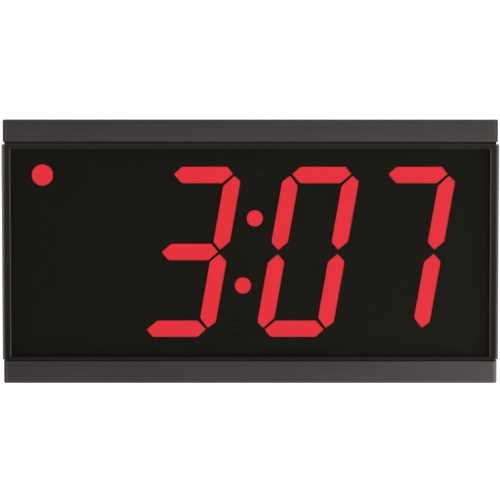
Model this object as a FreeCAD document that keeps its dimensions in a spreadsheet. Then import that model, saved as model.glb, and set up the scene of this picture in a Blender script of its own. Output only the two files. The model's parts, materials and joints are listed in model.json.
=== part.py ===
import FreeCAD, Part
import math
import os
import Sketcher

# Round timer: a four-digit display between two extruded rails, hung on a
# steel wall bracket.  Millimetres.  X runs left to right seen from the front,
# Y runs from the front of the clock to the wall, Z is up.  The origin is the
# centre of the bracket's back face, so the wall is the plane Y = 0 and the
# front of the bezel is at Y = -front_plane.

doc = FreeCAD.newDocument("round_timer")
V = FreeCAD.Vector

# ---------------------------------------------------------------- driving sizes
# Names in _front, _rear, _face, _plane and _depth of a part's position are
# distances from the wall.
SIZES = dict(
    # bezel
    bezel_width=297.0, bezel_top=63.95, bezel_low=64.65, front_plane=57.0, bezel_rear=45.4,
    bezel_round=2.8, shoulder_depth=5.5, gap_lip_half=146.4, gap_lip_front=55.5,
    opening_half=142.65, opening_top=61.0, opening_low=62.8, opening_bevel=0.65,
    tongue_thick=1.6,
    # rails and end plates
    rail_span=294.7, plate_thick=1.6, half_height=78.7, top_rail_low=65.35,
    low_rail_top=65.2, rail_front=56.0, rail_rear=4.0, rail_wall=1.8, rail_round=1.0,
    partition_rear=36.0, rear_lip=6.0, slide_play=0.1, rib_outer=1.9, rib_height=2.3,
    ledge_reach=1.5, ledge_play=0.05, ledge_outer=1.6,
    boss_front=51.6, boss_rear=14.0, boss_height=74.3, boss_radius=3.0, boss_hole=1.55,
    side_groove=0.8,
    # lens and its tape
    lens_width=288.0, lens_height=125.8, lens_mid=0.9, lens_thick=3.0, lens_face=55.2,
    tape_thick=0.4, tape_width=1.0,
    # baffle panel and digits
    panel_width=286.0, panel_height=124.0, panel_face=51.5, panel_depth=9.95,
    diffuser_thick=3.0, digit_scale=1.005, slant_ratio=0.1763, layout_mid=-0.83,
    layout_height=-0.37, half_gap=35.35, digit_pitch=57.52, colon_radius=4.79,
    colon_rise=20.1, lamp_radius=6.28, lamp_side=-124.2, lamp_height=45.65,
    # display board
    board_thick=1.6, display_rear=39.9, display_width=284.0, display_top=65.15,
    display_low=65.0, led_radius=1.5, led_height=4.0, driver_height=2.3,
    # controller board
    controller_rear=26.3, controller_left=-62.0, controller_width=146.0,
    controller_low=-46.0, controller_height=88.0, post_inset=5.0, post_flat=5.5,
    post_bore=1.55, horn_side=28.5, horn_height=0.0, horn_radius=18.0, horn_depth=12.0,
    # button board, buttons, power jack and volume slider
    button_depth=24.0, button_radius=4.0, button_gap=0.1, button_first=60.0,
    button_pitch=20.0, button_flange=5.2, button_board_left=2.0, button_board_width=130.0,
    button_board_front=35.9, button_board_rear=10.0, button_board_low=69.6,
    jack_side=12.0, jack_bore=3.2, jack_pin=1.05, jack_wall_hole=4.5,
    slider_side=35.0, slider_slot=6.6,
    # rear cover and battery
    cover_width=291.2, cover_top=73.95, cover_low=73.55, cover_rear=6.0, cover_thick=2.0,
    cell_side=-98.0, cell_height=-10.0, cell_radius=10.0, cell_thick=3.2,
    door_radius=11.4, door_hole=11.5, lug_radius=12.4,
    # wall bracket and bumpers
    plate_width=150.0, plate_height=100.0, steel_thick=2.0, hook_side=55.0,
    hook_width=14.0, hook_reach=10.3, hook_lip=9.0, screw_span_x=120.0,
    screw_span_z=60.0, screw_hole=2.25, box_span=83.3, box_hole=2.25,
    bumper_radius=6.0, bumper_x=130.0, bumper_z=60.0,
)
sheet = doc.addObject("Spreadsheet::Sheet", "dims")
for row, (alias, value) in enumerate(SIZES.items(), 1):
    sheet.set("A%d" % row, alias.replace("_", " "))
    sheet.set("B%d" % row, str(value))
    sheet.setAlias("B%d" % row, alias)
doc.recompute()


class Size:
    """A number together with the sheet expression that gives it."""

    def __init__(self, value, expression=None):
        self.value = float(value)
        self.expression = expression or "(%r)" % self.value

    def __add__(self, other):
        other = as_size(other)
        return Size(self.value + other.value, "(%s + %s)" % (self.expression, other.expression))

    def __radd__(self, other):
        return as_size(other) + self

    def __sub__(self, other):
        other = as_size(other)
        return Size(self.value - other.value, "(%s - %s)" % (self.expression, other.expression))

    def __rsub__(self, other):
        return as_size(other) - self

    def __mul__(self, other):
        other = as_size(other)
        return Size(self.value * other.value, "(%s * %s)" % (self.expression, other.expression))

    def __rmul__(self, other):
        return as_size(other) * self

    def __truediv__(self, other):
        other = as_size(other)
        return Size(self.value / other.value, "(%s / %s)" % (self.expression, other.expression))

    def __neg__(self):
        return Size(-self.value, "(-1 * %s)" % self.expression)


def as_size(number):
    return number if isinstance(number, Size) else Size(number)


class Dimensions:
    """The sheet's sizes as attributes."""

    def __init__(self, sizes):
        for alias, value in sizes.items():
            setattr(self, alias, Size(value, "dims." + alias))


dim = Dimensions(SIZES)


def bind(obj, prop, size):
    """Give a property its value and the expression that keeps it up to date."""
    size = as_size(size)
    if "." not in prop:
        setattr(obj, prop, size.value)
    obj.setExpression(prop, size.expression)


def place(obj, x=None, y=None, z=None):
    for axis, position in (("x", x), ("y", y), ("z", z)):
        if position is not None:
            bind(obj, "Placement.Base." + axis, position)
    return obj


# -------------------------------------------------------------------- sketches
def body(label):
    b = doc.addObject("PartDesign::Body", label)
    b.Label = label
    b.AllowCompound = True
    return b


def sketch(b, role, offset):
    """A sketch on one of the body's own origin planes, moved along its normal."""
    sk = b.newObject("Sketcher::SketchObject", b.Name + "_sketch")
    plane = [o for o in b.Origin.OriginFeatures if o.Role == role][0]
    sk.AttachmentSupport = [(plane, "")]
    sk.MapMode = "FlatFace"
    offset = as_size(offset)
    sk.AttachmentOffset = FreeCAD.Placement(V(0, 0, offset.value), FreeCAD.Rotation())
    bind(sk, "AttachmentOffset.Base.z", offset)
    return sk


def front_view(b, y=0):
    """Sketch in X and Z; a pad grows forward (-Y), a pocket cuts toward the wall."""
    return sketch(b, "XZ_Plane", -as_size(y))


def side_view(b, x=0):
    """Sketch in Y and Z; a pad grows to the right, a pocket cuts to the left."""
    return sketch(b, "YZ_Plane", x)


def plan_view(b, z=0):
    """Sketch in X and Y; a pad grows up, a pocket cuts down."""
    return sketch(b, "XY_Plane", z)


def joined(*ends):
    """A coincidence of two points, with no size."""
    return Sketcher.Constraint("Coincident", *ends), None


def pinned(geometry, point, x, y):
    """Constraints, with their sizes, that hold a point at x, y."""
    return [(Sketcher.Constraint(kind, -1, 1, geometry, point, size.value), size)
            for kind, size in (("DistanceX", x), ("DistanceY", y))]


def constrain(sk, entries):
    ids = sk.addConstraint([constraint for constraint, _ in entries])
    for index, (_, size) in zip(ids, entries):
        if size is not None and "dims." in size.expression:
            sk.setExpression("Constraints[%d]" % index, size.expression)


def segment(start, end):
    return Part.LineSegment(V(start[0].value, start[1].value, 0), V(end[0].value, end[1].value, 0))


def polygon(sk, points):
    points = [(as_size(x), as_size(y)) for x, y in points]
    following = points[1:] + points[:1]
    ids = sk.addGeometry([segment(a, c) for a, c in zip(points, following)])
    entries = [joined(a, 2, c, 1) for a, c in zip(ids, ids[1:] + ids[:1])]
    for line, (x, y) in zip(ids, points):
        entries += pinned(line, 1, x, y)
    constrain(sk, entries)


def rectangle(sk, x0, x1, y0, y1):
    polygon(sk, [(x0, y0), (x1, y0), (x1, y1), (x0, y1)])


def centred(sk, x, y, half_x, half_y):
    """A rectangle about the centre x, y."""
    rectangle(sk, x - half_x, x + half_x, y - half_y, y + half_y)


def circle(sk, x, y, radius):
    x, y, radius = as_size(x), as_size(y), as_size(radius)
    ring = sk.addGeometry(Part.Circle(V(x.value, y.value, 0), V(0, 0, 1), radius.value))
    size = (Sketcher.Constraint("Radius", ring, radius.value), radius)
    constrain(sk, pinned(ring, 3, x, y) + [size])


def add_axis(sk, points, first, last):
    """A construction line between two corners of the polygon just drawn."""
    start, end = ([as_size(v) for v in points[i]] for i in (first, last))
    axis = sk.addGeometry(segment(start, end), True)
    constrain(sk, [joined(axis, 1, first, 1), joined(axis, 2, last, 1)])


# -------------------------------------------------------------------- features
def pad(b, sk, length, mid=False, rev=False):
    f = b.newObject("PartDesign::Pad", b.Name + "_pad")
    f.Profile = sk
    bind(f, "Length", length)
    f.Midplane = mid
    f.Reversed = rev
    f.Refine = True
    return f


def pocket(b, sk, length, mid=False, rev=False):
    """Cut against the sketch normal by a length; must remove material."""
    doc.recompute()
    before = b.Shape.Volume
    f = b.newObject("PartDesign::Pocket", b.Name + "_pocket")
    f.Profile = sk
    bind(f, "Length", length)
    f.Midplane = mid
    f.Reversed = rev
    f.Refine = True
    doc.recompute()
    if not b.Shape.Volume < before - 1e-6:
        raise RuntimeError("pocket cut nothing in " + b.Label)
    return f


def revolve(b, sk, axis, name=None):
    f = b.newObject("PartDesign::Revolution", name or b.Name + "_turn")
    f.Profile = sk
    f.ReferenceAxis = (sk, [axis])
    f.Angle = 360
    return f


def pattern(b, features, sk, dx, nx, dy=None, ny=1):
    """Repeat features along the sketch's own axes."""
    doc.recompute()
    f = b.newObject("PartDesign::LinearPattern", b.Name + "_pattern")
    f.Originals = features
    f.Direction = (sk, ["H_Axis"])
    bind(f, "Length", as_size(dx) * (nx - 1))
    f.Occurrences = nx
    if dy is not None:
        f.Direction2 = (sk, ["V_Axis"])
        bind(f, "Length2", as_size(dy) * (ny - 1))
        f.Occurrences2 = ny
    b.Tip = f
    doc.recompute()


def direction_sketch(sk):
    """Give a sketch that only lends its axes to a pattern a circle, so it isn't empty."""
    circle(sk, 0, 0, 1)
    return sk


def lines(axis, **places):
    """A test for straight edges along axis that lie at the given coordinates."""
    def test(edge):
        if edge.Curve.TypeId != "Part::GeomLine" or len(edge.Vertexes) != 2:
            return False
        start, end = (vertex.Point for vertex in edge.Vertexes)
        run = end - start
        if abs(getattr(run, axis)) < run.Length - 1e-6:
            return False
        return all(any(abs(getattr(start, k) - as_size(v).value) < 1e-4 for v in values)
                   for k, values in places.items())
    return test


def circles(axis, position):
    """A test for circular edges whose centre has the given coordinate."""
    return lambda edge: (edge.Curve.TypeId == "Part::GeomCircle" and
                         abs(getattr(edge.Curve.Center, axis) - as_size(position).value) < 1e-4)


def treat_edges(b, test, kind, prop, size):
    doc.recompute()
    names = ["Edge%d" % i for i, edge in enumerate(b.Shape.Edges, 1) if test(edge)]
    if not names:
        raise RuntimeError("no edges found on " + b.Label)
    last = b.Tip
    f = b.newObject(kind, b.Name + "_edge")
    f.Base = (last, names)
    bind(f, prop, size)
    b.Tip = f
    doc.recompute()
    if "Invalid" in f.State or f.Shape.isNull():
        raise RuntimeError("edge treatment failed on " + b.Label)


def fillet(b, test, radius):
    treat_edges(b, test, "PartDesign::Fillet", "Radius", radius)


def chamfer(b, test, size):
    treat_edges(b, test, "PartDesign::Chamfer", "Size", size)


# ------------------------------------------------------------------ Part solids
def add(kind, label):
    obj = doc.addObject(kind, label)
    obj.Label = label
    return obj


def box(label, x0, x1, y0, y1, z0, z1):
    obj = add("Part::Box", label)
    bind(obj, "Length", as_size(x1) - x0)
    bind(obj, "Width", as_size(y1) - y0)
    bind(obj, "Height", as_size(z1) - z0)
    return place(obj, x0, y0, z0)


def rod(label, axis, x, y, z, radius, length):
    """A cylinder that starts at x, y, z and runs along +Y or +Z."""
    obj = add("Part::Cylinder", label)
    turn = {"Y": FreeCAD.Rotation(V(1, 0, 0), -90), "Z": FreeCAD.Rotation()}[axis]
    obj.Placement = FreeCAD.Placement(V(0, 0, 0), turn)
    bind(obj, "Radius", radius)
    bind(obj, "Height", length)
    return place(obj, x, y, z)


def fuse(label, shapes):
    obj = add("Part::MultiFuse", label)
    obj.Shapes = shapes
    obj.Refine = True
    return obj


def group(label, shapes):
    obj = add("Part::Compound", label)
    obj.Links = shapes
    return obj


def cut(label, base, tools):
    tool = tools[0] if len(tools) == 1 else group(label + "_tools", tools)
    obj = add("Part::Cut", label)
    obj.Base = base
    obj.Tool = tool
    obj.Refine = True
    return obj


def rounded_slab(label, y, sides, thickness, radius):
    """A plate from y toward the wall; sides are x0, x1, z0, z1."""
    b = body(label)
    sk = front_view(b, y)
    rectangle(sk, *sides)
    pad(b, sk, thickness, rev=True)
    fillet(b, lines("y"), radius)
    return b


# ------------------------------------------------------------ shared positions
half_height, wall, play = dim.half_height, dim.rail_wall, dim.slide_play
top_inner = dim.top_rail_low            # the rail faces that look at the display
low_inner = -dim.low_rail_top
rail_floor = wall - half_height         # upper face of the bottom rail's underside wall
inner_length = dim.rail_span - 2 * dim.plate_thick
# Y positions
rail_front, rail_rear = -dim.rail_front, -dim.rail_rear
cover_rear = -dim.cover_rear
cover_front = cover_rear - dim.cover_thick
slot_rear, slot_front = cover_rear + play, cover_front - play
bezel_front = -dim.front_plane
tongue_rear = -dim.bezel_rear
tongue_front = tongue_rear - dim.tongue_thick
lens_face, panel_face = -dim.lens_face, -dim.panel_face
display_rear = -dim.display_rear
display_front = display_rear - dim.board_thick
controller_rear = -dim.controller_rear
controller_front = controller_rear - dim.board_thick
partition_rear = -dim.partition_rear
button_y = -dim.button_depth
# Z positions of the button board's two faces
board_low = -dim.button_board_low
board_top = board_low + dim.board_thick


# ------------------------------------------------------------------- the rails
def inner_face(z, side):
    """Rail outline from the display board's groove forward to the bezel's; side 1 is the top."""
    rib_z = z - side * dim.rib_height
    wall_z = z + side * wall
    far_z = side * (half_height - wall)
    return [
        # two ribs that hold the display board
        (display_rear + dim.rib_outer, z), (display_rear + dim.rib_outer, rib_z),
        (display_rear + play, rib_z), (display_rear + play, z),
        (display_front - play, z), (display_front - play, rib_z),
        (display_front - dim.rib_outer, rib_z), (display_front - dim.rib_outer, z),
        # slot for the bezel's tongue, open to the hollow front chamber
        (tongue_rear + play, z), (tongue_rear + play, wall_z),
        (partition_rear - wall, wall_z), (partition_rear - wall, far_z),
        (rail_front + wall, far_z), (rail_front + wall, wall_z),
        (tongue_front - play, wall_z), (tongue_front - play, z)]


def board_ledges(y, reach):
    """Outline, from the top down, of two ledges that hold the button board's edge."""
    return [(y, board_top + dim.ledge_outer), (y + reach, board_top + dim.ledge_outer),
            (y + reach, board_top + dim.ledge_play), (y, board_top + dim.ledge_play),
            (y, board_low - dim.ledge_play), (y + reach, board_low - dim.ledge_play),
            (y + reach, board_low - dim.ledge_outer), (y, board_low - dim.ledge_outer)]


def rail(label, outline, inner_z, side):
    """An extrusion with two screw bosses along its length."""
    b = body(label)
    sk = side_view(b)
    polygon(sk, outline)
    pad(b, sk, inner_length, mid=True)
    for radius in (dim.boss_radius, dim.boss_hole):
        sk = side_view(b)
        for depth in (dim.boss_front, dim.boss_rear):
            circle(sk, -depth, side * dim.boss_height, radius)
        if radius is dim.boss_radius:
            pad(b, sk, inner_length, mid=True)
        else:
            pocket(b, sk, inner_length + 4, mid=True)
    fillet(b, lines("x", y=[rail_front], z=[side * half_height, inner_z]), dim.rail_round)
    return b


def top_rail():
    lip_z = half_height - dim.rear_lip
    slot_z = dim.cover_top + 0.15
    return rail("top_rail", [
        (rail_front, top_inner), (rail_front, half_height), (rail_rear, half_height),
        (rail_rear, lip_z), (slot_rear, lip_z), (slot_rear, slot_z), (slot_front, slot_z),
        (slot_front, lip_z), (slot_front - wall, lip_z), (slot_front - wall, half_height - wall),
        (partition_rear, half_height - wall), (partition_rear, top_inner),
        *inner_face(top_inner, 1)], top_inner, 1)


def bottom_rail():
    slot_z = -dim.cover_low - play
    lip_z = dim.rear_lip - half_height
    b = rail("bottom_rail", [
        (rail_front, low_inner), *reversed(inner_face(low_inner, -1)),
        (partition_rear, low_inner), *board_ledges(partition_rear, dim.ledge_reach),
        (partition_rear, rail_floor), (slot_front - wall, rail_floor),
        *reversed(board_ledges(slot_front - wall, -dim.ledge_reach)[1:]),
        (slot_front, board_top + dim.ledge_outer), (slot_front, slot_z), (slot_rear, slot_z),
        (slot_rear, lip_z), (rail_rear, lip_z), (rail_rear, -half_height),
        (rail_front, -half_height)], low_inner, -1)
    # openings in the underside: four buttons, the power plug and the volume slider
    sk = plan_view(b, -half_height)
    for i in range(4):
        circle(sk, dim.button_first + i * dim.button_pitch, button_y,
               dim.button_radius + dim.button_gap)
    circle(sk, dim.jack_side, button_y, dim.jack_wall_hole)
    centred(sk, dim.slider_side, button_y, dim.slider_slot / 2, 1.1)
    pocket(b, sk, wall + 0.5, rev=True)
    return b


# ------------------------------------------------------------------ end plates
def end_plate(label, side):
    """Side 1 is the right plate, -1 the left."""
    b = body(label)
    inner = inner_length / 2
    outer = inner + dim.plate_thick
    outer_x = side * outer
    notch = tongue_rear + 0.3
    sk = side_view(b, inner if side > 0 else -outer)
    polygon(sk, [(rail_front, top_inner), (rail_front, half_height), (rail_rear, half_height),
                 (rail_rear, -half_height), (rail_front, -half_height), (rail_front, low_inner),
                 (notch, low_inner), (notch, top_inner)])
    pad(b, sk, dim.plate_thick)
    # grooves on the outside in line with the shadow gaps
    sk = side_view(b, outer_x)
    rectangle(sk, notch - 1, rail_rear + 1, dim.bezel_top, top_inner)
    rectangle(sk, notch - 1, rail_rear + 1, low_inner, -dim.bezel_low)
    pocket(b, sk, dim.side_groove, rev=(side < 0))
    # countersunk screw holes
    sk = side_view(b, outer_x)
    for depth in (dim.boss_front, dim.boss_rear):
        for end in (1, -1):
            circle(sk, -depth, end * dim.boss_height, 1.6)
    pocket(b, sk, dim.plate_thick + 1, rev=(side < 0))
    chamfer(b, circles("x", outer_x), 1.3)
    fillet(b, lines("z", y=[rail_front], x=[outer_x]), 1.2)
    fillet(b, lines("y", x=[outer_x], z=[half_height, -half_height]), 1.0)
    return b


def end_screws(label, side):
    """Four countersunk self-tapping screws, heads flush with the end plate."""
    b = body(label)
    sk = front_view(b)
    inward = float(-side)
    polygon(sk, [(0, 0), (0, 2.8), (inward * 1.3, 1.5), (inward * 11, 1.5),
                 (inward * 12, 0.6), (inward * 12, 0)])
    screw = revolve(b, sk, "H_Axis")
    doc.recompute()
    # cross recess
    sk = side_view(b)
    slot_half, slot_reach = 0.35, 1.6
    rectangle(sk, -slot_reach, slot_reach, -slot_half, slot_half)
    rectangle(sk, -slot_half, slot_half, -slot_reach, -0.4)
    rectangle(sk, -slot_half, slot_half, 0.4, slot_reach)
    recess = pocket(b, sk, 0.8, rev=(side < 0))
    pattern(b, [screw, recess], direction_sketch(side_view(b)),
            dim.boss_front - dim.boss_rear, 2, 2 * dim.boss_height, 2)
    return place(b, side * (inner_length / 2 + dim.plate_thick), -dim.boss_front,
                 -dim.boss_height)


def end_plate_screws():
    return group("end_plate_screws", [end_screws("left_end_screws", -1),
                                      end_screws("right_end_screws", 1)])


# -------------------------------------------------------------- bezel and lens
def shouldered_outline(sk):
    """The bezel's plan, flat in front, whose two front corners are quarter ellipses."""
    half, side, depth = dim.bezel_width / 2, dim.bezel_round, dim.shoulder_depth
    front, rear = bezel_front, tongue_rear
    arcs = []
    for sign, start in ((1, math.pi), (-1, math.pi / 2)):
        centre = V(sign * (half.value - side.value), front.value + depth.value, 0)
        ellipse = Part.Ellipse(centre + V(0, depth.value, 0), centre - V(side.value, 0, 0), centre)
        arcs.append(sk.addGeometry(Part.ArcOfEllipse(ellipse, start, start + math.pi / 2)))
    right_arc, left_arc = arcs
    corners = [(side - half, front), (half - side, front), (half, front + depth), (half, rear),
               (-half, rear), (-half, front + depth)]
    front_line, right_line, rear_line, left_line = (
        sk.addGeometry(segment(corners[i], corners[i + 1])) for i in (0, 2, 3, 4))
    entries = [joined(front_line, 2, right_arc, 1), joined(right_arc, 2, right_line, 1),
               joined(right_line, 2, rear_line, 1), joined(rear_line, 2, left_line, 1),
               joined(left_line, 2, left_arc, 1), joined(left_arc, 2, front_line, 1)]
    ends = [(line, end) for line in (front_line, right_line, left_line) for end in (1, 2)]
    for (line, end), (x, y) in zip(ends, corners):
        entries += pinned(line, end, x, y)
    entries += pinned(right_arc, 3, half - side, front + depth)
    entries += pinned(left_arc, 3, side - half, front + depth)
    constrain(sk, entries)


lens_half_x, lens_half_z, lens_z = dim.lens_width / 2, dim.lens_height / 2, -dim.lens_mid


def front_bezel():
    b = body("front_bezel")
    sk = plan_view(b, -dim.bezel_low)
    shouldered_outline(sk)
    pad(b, sk, dim.bezel_low + dim.bezel_top)
    # thin tongues along the top and bottom that run in the rails
    sk = front_view(b, tongue_front)
    rectangle(sk, 0.35 - inner_length / 2, inner_length / 2 - 0.35,
              -dim.bezel_low - 2.5, dim.bezel_top + 2.6)
    pad(b, sk, dim.tongue_thick, rev=True)
    # shallow lips that close the shadow gaps next to the rails
    sk = front_view(b, -dim.gap_lip_front)
    rectangle(sk, -dim.gap_lip_half, dim.gap_lip_half,
              0.1 - dim.low_rail_top, dim.top_rail_low - 0.1)
    pad(b, sk, dim.gap_lip_front - dim.bezel_rear, rev=True)
    # viewing opening, then the wider recess behind it for the lens
    sk = front_view(b, bezel_front)
    rectangle(sk, -dim.opening_half, dim.opening_half, -dim.opening_low, dim.opening_top)
    pocket(b, sk, 20)
    sk = front_view(b, lens_face - dim.tape_thick)
    centred(sk, 0, lens_z, lens_half_x + 0.2, lens_half_z + 0.1)
    pocket(b, sk, 20)
    chamfer(b, lines("z", y=[bezel_front], x=[-dim.opening_half, dim.opening_half]),
            dim.opening_bevel)
    fillet(b, lines("x", y=[bezel_front], z=[-dim.bezel_low, dim.bezel_top]), 0.5)
    return b


def lens_tape():
    b = body("lens_tape")
    sk = front_view(b, lens_face)
    for inset in (0, dim.tape_width):
        centred(sk, 0, lens_z, lens_half_x - inset, lens_half_z - inset)
    pad(b, sk, dim.tape_thick)
    return b


def front_lens():
    sides = (-lens_half_x, lens_half_x, lens_z - lens_half_z, lens_z + lens_half_z)
    return rounded_slab("front_lens", lens_face, sides, dim.lens_thick, 0.8)


# ---------------------------------------------------------- segments and panel
def flip(points, sign_u, sign_v):
    return [(sign_u * u, sign_v * v) for u, v in points]


# Corners (u, v) of the segments, right and up from the digit's centre, before
# the digit is scaled and slanted.
SEGMENT_A = [(-17.5, 46.3), (-13.35, 50.6), (13.35, 50.6), (17.5, 46.3), (11.9, 41.0),
             (-11.9, 41.0)]
SEGMENT_B = [(18.6, 45.2), (22.7, 41.9), (22.7, 6.3), (17.7, 1.5), (13.1, 5.9), (13.1, 39.2)]
SEGMENT_C = [(18.6, -45.2), (22.7, -41.9), (22.7, -5.7), (17.85, -1.25), (13.05, -5.9),
             (13.1, -39.2)]
SEGMENT_G = [(-16.7, 0.0), (-11.9, 4.8), (11.9, 4.8), (16.7, 0.0), (11.9, -4.8), (-11.9, -4.8)]
SEGMENTS = {"a": SEGMENT_A, "b": SEGMENT_B, "c": SEGMENT_C, "d": flip(SEGMENT_A, 1, -1),
            "e": flip(SEGMENT_B, -1, -1), "f": flip(SEGMENT_C, -1, -1), "g": SEGMENT_G}

# digit centres, left to right
digit_x = [dim.layout_mid - dim.half_gap - dim.digit_pitch, dim.layout_mid - dim.half_gap,
           dim.layout_mid + dim.half_gap, dim.layout_mid + dim.half_gap + dim.digit_pitch]
pair_x = (digit_x[0], digit_x[2])       # the left digit of the hours and of the minutes
colon_centres = [(dim.layout_mid + dim.slant_ratio * side * dim.colon_rise,
                  dim.layout_height + side * dim.colon_rise) for side in (1, -1)]
lamp_centre = (dim.lamp_side, dim.lamp_height)


def slanted(x, u, v):
    """X and Z of a digit's point, leaning to the right by the slant ratio."""
    u, v = dim.digit_scale * u, dim.digit_scale * v
    return x + u + dim.slant_ratio * v, dim.layout_height + v


def draw_segments(sk, x, letters):
    for letter in letters:
        polygon(sk, [slanted(x, u, v) for u, v in SEGMENTS[letter]])


def segments(label, x, letters):
    b = body(label)
    sk = front_view(b, panel_face)
    draw_segments(sk, x, letters)
    pad(b, sk, dim.diffuser_thick, rev=True)
    return b


def dots(label, centres, radius):
    b = body(label)
    sk = front_view(b, panel_face)
    for x, z in centres:
        circle(sk, x, z, radius)
    pad(b, sk, dim.diffuser_thick, rev=True)
    return b


def light_baffle_panel():
    b = body("light_baffle_panel")
    sk = front_view(b, panel_face)
    centred(sk, 0, lens_z, dim.panel_width / 2, dim.panel_height / 2)
    pad(b, sk, dim.panel_depth, rev=True)
    for x in pair_x:
        sk = front_view(b, panel_face)
        draw_segments(sk, x, "abcdefg")
        windows = pocket(b, sk, dim.panel_depth + 1)
        pattern(b, [windows], sk, dim.digit_pitch, 2)
    # colon and lamp, then the windows of the infrared receiver and the light sensor
    sk = front_view(b, panel_face)
    for x, z in colon_centres:
        circle(sk, x, z, dim.colon_radius)
    circle(sk, *lamp_centre, dim.lamp_radius)
    rectangle(sk, -12.0, -4.0, -52.0, -44.0)
    circle(sk, 7.0, 46.0, 2.5)
    pocket(b, sk, dim.panel_depth + 1)
    return b


# --------------------------------------------------------------- display board
def display_board():
    b = body("display_board")
    sk = front_view(b, display_rear)
    rectangle(sk, -dim.display_width / 2, dim.display_width / 2, -dim.display_low, dim.display_top)
    pad(b, sk, dim.board_thick)
    return b


# LED places (u, v) in one digit: three level rows, then the upright segments
LED_SPOTS = [(u, v) for v in (45.8, 0, -45.8) for u in (-10.5, -3.5, 3.5, 10.5)]
LED_SPOTS += [(u, side * v) for u in (-17.9, 17.9) for side in (1, -1)
              for v in (11, 18.5, 26, 33.5)]


def segment_leds():
    b = body("segment_leds")
    for digit in pair_x:
        sk = front_view(b, display_front)
        for u, v in LED_SPOTS:
            circle(sk, *slanted(digit, u, v), dim.led_radius)
        leds = pad(b, sk, dim.led_height)
        pattern(b, [leds], sk, dim.digit_pitch, 2)
    sk = front_view(b, display_front)
    for x, z in colon_centres + [lamp_centre]:
        circle(sk, x, z, dim.led_radius)
    pad(b, sk, dim.led_height)
    return b


def infrared_receiver():
    case_height, lens_height = 3.5, 1.8
    b = body("infrared_receiver")
    sk = front_view(b, display_front)
    rectangle(sk, -11.0, -5.0, -51.5, -45.0)
    pad(b, sk, case_height)
    sk = front_view(b, display_front - case_height)
    circle(sk, -8.0, -48.5, 2.6)
    pad(b, sk, lens_height)
    fillet(b, circles("y", display_front - case_height - lens_height), 1.2)
    return b


def light_sensor():
    return fuse("light_sensor", [
        box("light_sensor_base", 5.5, 8.5, display_front - 1.0, display_front, 44.5, 47.5),
        rod("light_sensor_dome", "Y", 7.0, display_front - 1.6, 46.0, 1.1, 1.0)])


def led_driver_chips():
    """Chips on the back of the display board, one behind each digit."""
    b = body("led_driver_chips")
    for digit in pair_x:
        x = digit + 10
        sk = front_view(b, display_rear)
        rectangle(sk, x - 5.2, x + 5.2, 48.0, 55.6)
        case = pad(b, sk, dim.driver_height, rev=True)
        sk = front_view(b, display_rear)
        for i in range(8):
            lead_x = x - 4.6 + i * 1.3
            rectangle(sk, lead_x - 0.2, lead_x + 0.2, 46.6, 48.3)
            rectangle(sk, lead_x - 0.2, lead_x + 0.2, 55.3, 57.0)
        leads = pad(b, sk, 0.4, rev=True)
        pattern(b, [case, leads], sk, dim.digit_pitch, 2)
    return b


# -------------------------------------------------- controller board and posts
post_x = dim.controller_left + dim.post_inset       # lower left post
post_z = dim.controller_low + dim.post_inset
post_span_x = dim.controller_width - 2 * dim.post_inset
post_span_z = dim.controller_height - 2 * dim.post_inset


def controller_board():
    b = body("controller_board")
    sk = front_view(b, controller_rear)
    rectangle(sk, dim.controller_left, dim.controller_left + dim.controller_width,
              dim.controller_low, dim.controller_low + dim.controller_height)
    for x in (post_x, post_x + post_span_x):
        for z in (post_z, post_z + post_span_z):
            circle(sk, x, z, 1.65)
    pad(b, sk, dim.board_thick)
    return b


def board_standoffs():
    """Bored hexagonal posts between the two boards."""
    b = body("board_standoffs")
    sk = front_view(b, controller_front)
    flat = dim.post_flat / 2
    corner = flat / math.cos(math.radians(30))
    x, z = post_x, post_z
    polygon(sk, [(x + flat, z + corner / 2), (x, z + corner), (x - flat, z + corner / 2),
                 (x - flat, z - corner / 2), (x, z - corner), (x + flat, z - corner / 2)])
    circle(sk, x, z, dim.post_bore)
    post = pad(b, sk, controller_front - display_rear)
    pattern(b, [post], sk, post_span_x, 2, post_span_z, 2)
    return b


def controller_board_screws():
    b = body("controller_board_screws")
    sk = side_view(b, post_x)
    y, z = controller_rear, post_z
    profile = [(y + 2.0, z), (y + 2.0, z + 1.8), (y + 1.2, z + 2.7), (y, z + 2.7), (y, z + 1.5),
               (y - 7.5, z + 1.5), (y - 8.0, z + 1.0), (y - 8.0, z)]
    polygon(sk, profile)
    add_axis(sk, profile, 7, 0)
    screw = revolve(b, sk, "Axis0", "board_screw_turn")
    doc.recompute()
    sk = front_view(b, y + 2.0)
    centred(sk, post_x, z, 1.6, 0.35)
    slot = pocket(b, sk, 0.8, rev=True)
    pattern(b, [screw, slot], sk, post_span_x, 2, post_span_z, 2)
    return b


# The stacking header on the controller board and the socket on the display
# board: two rows of ten contacts.
STACK_X, STACK_HALF_X, STACK_HALF_Z = -30.0, 13.0, 2.6
PIN_PITCH, PIN_COLUMNS = 2.54, 10
FIRST_PIN_X = STACK_X - (PIN_COLUMNS - 1) / 2 * PIN_PITCH


def stacking_header():
    b = body("stacking_header")
    base_height = 2.5
    sk = front_view(b, controller_front)
    centred(sk, STACK_X, 0, STACK_HALF_X, STACK_HALF_Z)
    pad(b, sk, base_height)
    sk = front_view(b, controller_front - base_height)
    centred(sk, FIRST_PIN_X, -PIN_PITCH / 2, 0.32, 0.32)
    pin = pad(b, sk, 5.5)
    pattern(b, [pin], sk, PIN_PITCH, PIN_COLUMNS, PIN_PITCH, 2)
    return b


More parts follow.
